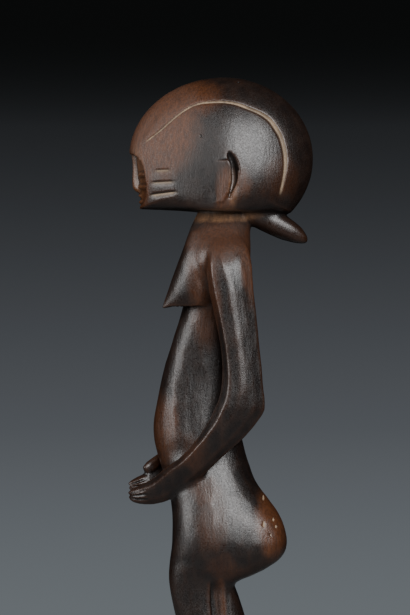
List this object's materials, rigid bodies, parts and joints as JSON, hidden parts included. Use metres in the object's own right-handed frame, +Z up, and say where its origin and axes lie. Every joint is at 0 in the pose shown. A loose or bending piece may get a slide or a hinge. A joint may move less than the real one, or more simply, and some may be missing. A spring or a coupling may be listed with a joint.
{
  "type": "wooden statue",
  "caption": "Standing female figure carved from one block of dark patinated wood, hands joined below the belly, on a low round base in the same block.",
  "frame": {"origin": "centre of the round base's flat underside", "axes": "+Z up along the figure; the figure faces -Y, so its left side is +X"},
  "size_m": [0.088, 0.1206, 0.45],
  "materials": {
    "wood": "dark oiled and hand-worn patina, semi-gloss"
  },
  "bodies": {
    "root": {"figure": "wood"}
  },
  "joints": []
}
